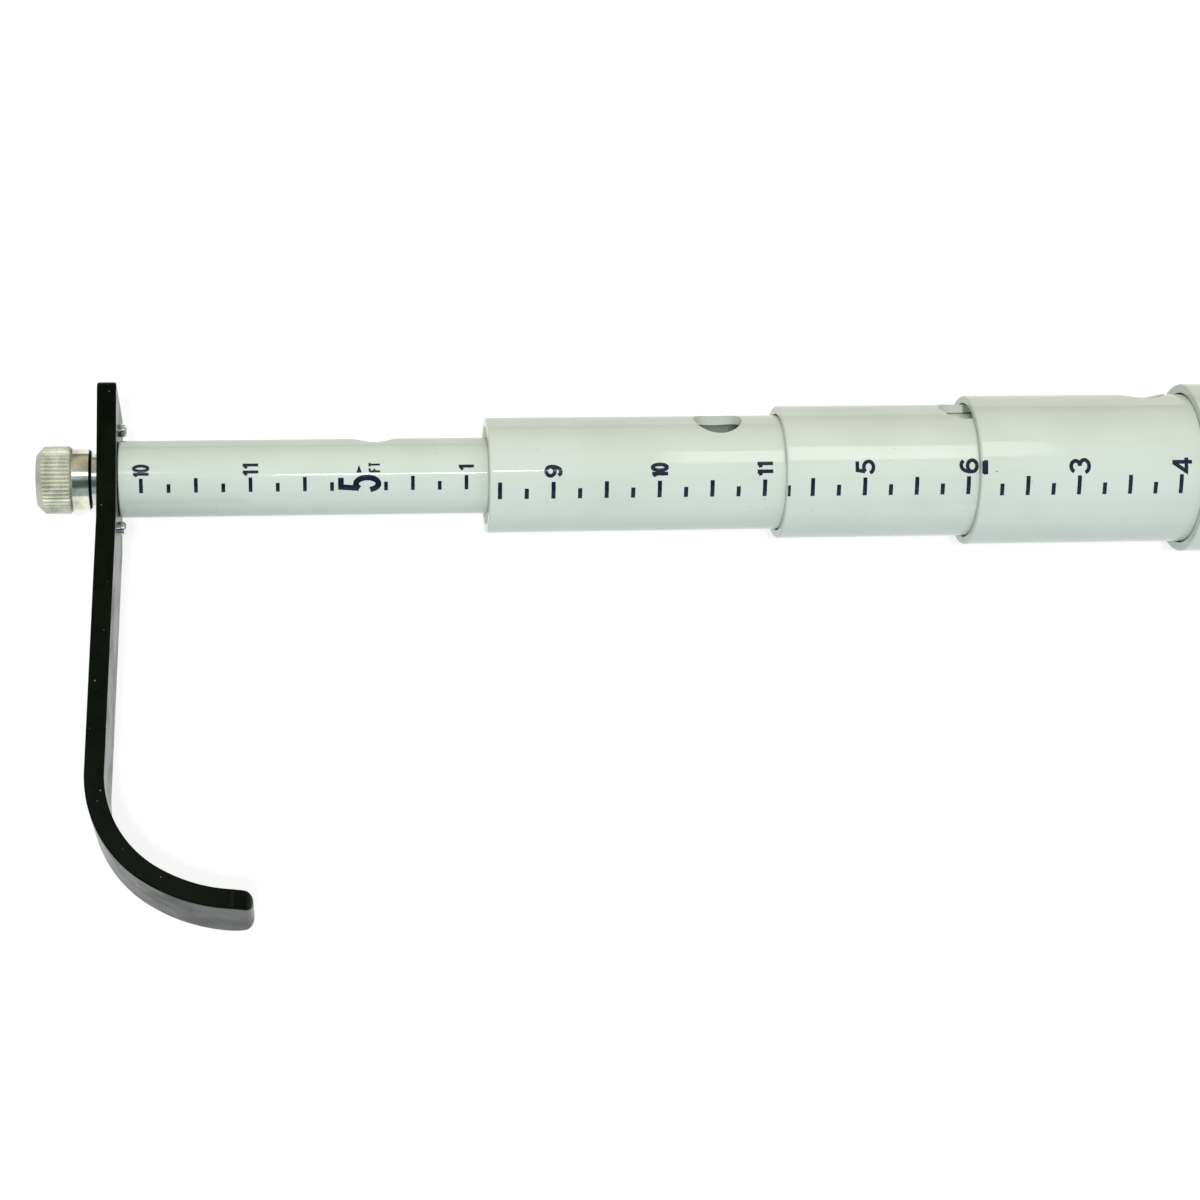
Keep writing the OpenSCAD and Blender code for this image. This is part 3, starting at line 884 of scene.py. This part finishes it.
def trim_print(marks, rim_x):
    """Cuts print off at a rim, turns its faces outward and gives it round normals."""
    b = bmesh.new()
    b.from_mesh(marks.data)
    parts = b.verts[:] + b.edges[:] + b.faces[:]
    plane = {"plane_co": (rim_x, 0, 0), "plane_no": TO_TIP}
    bmesh.ops.bisect_plane(b, geom=parts, clear_outer=True, **plane)
    for face in b.faces:
        centre = face.calc_center_median()
        if face.normal.y * centre.y + face.normal.z * centre.z < 0:
            face.normal_flip()
    b.to_mesh(marks.data)
    b.free()
    radial = [Vector((0, v.co.y, v.co.z)).normalized() for v in marks.data.vertices]
    marks.data.normals_split_custom_set_from_vertices(radial)


# CAD pieces that are shown as they are. The others go by the end of their names.
NODE_FINISH = {
    "mouth_bush": BUSH,
    "threaded_insert": BRASS,
    "locating_pins": PIN_STEEL,
    "lock_washer": SPRING_STEEL,
    "thumb_screw": NICKEL,
}


def finish_of(node):
    """The finish of a CAD piece that is shown as it is."""
    if node in NODE_FINISH:
        return NODE_FINISH[node]
    if node.endswith("_pin"):
        return PIN_STEEL
    if node.endswith("_button") or node.endswith("_ring"):
        return ACETAL
    return NYLON


# The button springs: the coil's radius and turns, its length, the wire's radius, and the pitch of
# the turns that close each end.
COIL_R = 3.4
COIL_TURNS = 5.5
END_TURNS = 1
COIL_LENGTH = 8.3
WIRE_R = 0.4
END_PITCH = WIRE_R * 2.1
STEPS_A_TURN = 28
WIRE_SIDES = 10
# Where a spring stands: below its section's foot, and down from the bore round its plug.
BUTTON_BELOW_FOOT = 12.0
BUTTON_CLEAR = 0.15
POCKET_DEPTH = 10.9


def coil_path(seat, way):
    """Points along the wire, its end turns closed, each with the way out from the coil."""
    side = way.cross(TO_FOOT)
    spread = COIL_LENGTH - 2 * WIRE_R - END_PITCH * COIL_TURNS
    count = round(COIL_TURNS * STEPS_A_TURN)
    path = []
    for i in range(count + 1):
        turns = COIL_TURNS * i / count
        open_part = (turns - END_TURNS) / (COIL_TURNS - 2 * END_TURNS)
        rise = WIRE_R + END_PITCH * turns + spread * min(1.0, max(0.0, open_part))
        swing = math.tau * turns
        radial = TO_FOOT * math.cos(swing) + side * math.sin(swing)
        path.append((seat + way * rise + radial * COIL_R, radial))
    return path


def make_coil(k):
    """The lock button's spring, of round wire."""
    way = across_rod(HOLE_TURN[k - 1])
    depth = BORE[k - 1] / 2 - BUTTON_CLEAR - POCKET_DEPTH
    seat = Vector((BUTTON_BELOW_FOOT - FOOT[k], 0, 0)) + way * depth
    around = [math.tau * j / WIRE_SIDES for j in range(WIRE_SIDES)]
    s = Shell()
    rings = []
    for middle, radial in coil_path(seat, way):
        spokes = [(radial * math.cos(b) + way * math.sin(b)) * WIRE_R for b in around]
        rings.append(s.ring([middle + spoke for spoke in spokes]))
    for one, two in zip(rings, rings[1:]):
        s.band(one, two)
    s.faces.append(tuple(rings[0]))
    s.faces.append(tuple(rings[-1]))
    node = TUBES[k].replace("tube", "button_spring")
    coil = s.build(node.replace("spring", "coil"), SPRING_STEEL)
    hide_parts(node)
    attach(coil, BODIES[k])
    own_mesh(coil)


def dress():
    """Replaces the tubes, the hook and the springs, and gives every other piece its finish."""
    for k, node in enumerate(TUBES):
        skin = make_tube(k)
        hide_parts(node)
        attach(skin, BODIES[k])
        if k in SCALES:
            marks = print_scale(k)
            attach(marks, BODIES[k])
    for k in range(1, len(TUBES)):
        make_coil(k)
    hook = make_hook()
    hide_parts("hook")
    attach(hook, "hook")
    for name, obj in frame["nodes"].items():
        if name in TUBES or name == "hook" or name.endswith("_spring"):
            continue
        obj.data.materials.clear()
        obj.data.materials.append(finish_of(name).material)


def panel(name, centre, target, width, height, radiance, colour):
    """A flat lamp that faces the target. Radiance is what a mirror would show of it."""
    data = bpy.data.lights.new(name, "AREA")
    data.shape = "RECTANGLE"
    data.size = width
    data.size_y = height
    data.energy = radiance * math.pi * width * height
    data.color = colour
    lamp = bpy.data.objects.new(name, data)
    lamp.location = centre
    aim = Vector(target) - Vector(centre)
    lamp.rotation_euler = aim.to_track_quat("-Z", "X").to_euler()
    lamp.visible_camera = False
    bpy.context.scene.collection.objects.link(lamp)


def round_rod(x, turn, distance):
    """A place at a distance from the rod's axis, at an angle measured up from +Y."""
    a = math.radians(turn)
    return (x, distance * math.cos(a), distance * math.sin(a))


# Each lamp: its place, what it faces, width and height in metres, radiance and colour.
LAMPS = {
    "flash": (round_rod(-1.457, 107.4, 0.63), (-1.457, 0, 0), 0.011, 0.12, 60.0, (0.98, 1.0, 1.0)),
    "ceiling": ((-1.043, 0.17, 1.5), (-1.043, 0.0, 0.0), 0.64, 0.314, 2.9, (1.0, 0.98, 0.86)),
    "glint": (round_rod(-1.632, 93.0, 0.62), (-1.57, 0.0, 0.0), 0.09, 0.15, 3.4, (0.93, 0.99, 1.0)),
}
KEY_STRENGTH = 1.7
KEY_SPREAD = 5
KEY_COLOUR = (0.98, 1.0, 0.985)
KEY_WAY = (0.05, 0.395, -0.905)

# The room's walls in shader values: on the camera's side, beyond the rod, low down there,
# and in the direction of the camera, of which only Y and Z are given.
NEAR_WALL = (0.42, 0.49, 0.56)
FAR_WALL = (0.55, 0.52, 0.41)
FAR_LOW_WALL = (0.07, 0.07, 0.03)
CAMERA_WALL = (0.03, 0.06, 0.06)
CAMERA_Y = -0.66
CAMERA_Z = 0.75


def shine_key():
    """The soft sun, which isn't mirrored in the object."""
    data = bpy.data.lights.new("key", "SUN")
    data.energy = KEY_STRENGTH
    data.angle = math.radians(KEY_SPREAD)
    data.color = KEY_COLOUR
    key = bpy.data.objects.new("key", data)
    key.rotation_euler = Vector(KEY_WAY).to_track_quat("-Z", "X").to_euler()
    key.visible_glossy = False
    bpy.context.scene.collection.objects.link(key)


def paint_room():
    """The world: muted walls, dark in two places that the metal mirrors."""
    world = bpy.data.worlds.new("room")
    bpy.context.scene.world = world
    world.use_nodes = True
    tree = world.node_tree
    place = tree.nodes.new("ShaderNodeTexCoord")
    way = Sock(tree, place.outputs["Generated"])
    y = way.node("ShaderNodeSeparateXYZ", out=1, _0=way)
    z = way.node("ShaderNodeSeparateXYZ", out=2, _0=way)
    room = y.step(-0.8, 0.8).mix(NEAR_WALL, FAR_WALL)
    low = (1 - z.step(0.02, 0.4)) * y.step(0.2, 0.7)
    room = (low * 0.8).mix(room, FAR_LOW_WALL)
    toward = y * CAMERA_Y + z * CAMERA_Z
    room = (toward.step(0.93, 0.985) * 0.85).mix(room, CAMERA_WALL)
    put(tree, tree.nodes["Background"].inputs["Color"], room)


def light_room():
    """Hangs the lamps and paints the room."""
    for name, values in LAMPS.items():
        panel(name, *values)
    shine_key()
    paint_room()


FLOOR_REACH = 90000


def lay_floor():
    """A floor under the base tube, so wide that the camera sees no end of it."""
    z = -OUTER[0] / 2
    far = FLOOR_REACH
    corners = [(-far, -far, z), (far, -far, z), (far, far, z), (-far, far, z)]
    s = Shell()
    s.faces.append(tuple(s.ring(corners)))
    floor = s.build("floor", floor_finish())


# The fitted camera: its lens and sensor in millimetres, its place in metres and its axes.
LENS = 78.24
SENSOR_W = 36.0
EYE = (-1.5168, -0.2693, 0.5670)
EYE_RIGHT = (0.99253, -0.06221, 0.10495)
EYE_UP = (0.01694, 0.92214, 0.38647)


def set_camera():
    """The camera that the photograph's marks and edges were fitted to."""
    data = bpy.data.cameras.new("camera")
    data.lens = LENS
    data.sensor_width = SENSOR_W
    cam = bpy.data.objects.new("camera", data)
    right = Vector(EYE_RIGHT)
    up = Vector(EYE_UP)
    back = right.cross(up)
    turn = Matrix((right, up, back)).transposed().to_4x4()
    cam.matrix_world = Matrix.Translation(EYE) @ turn
    bpy.context.scene.collection.objects.link(cam)
    bpy.context.scene.camera = cam


set_camera()
dress()
lay_floor()
light_room()
bpy.context.scene.view_settings.view_transform = "Standard"
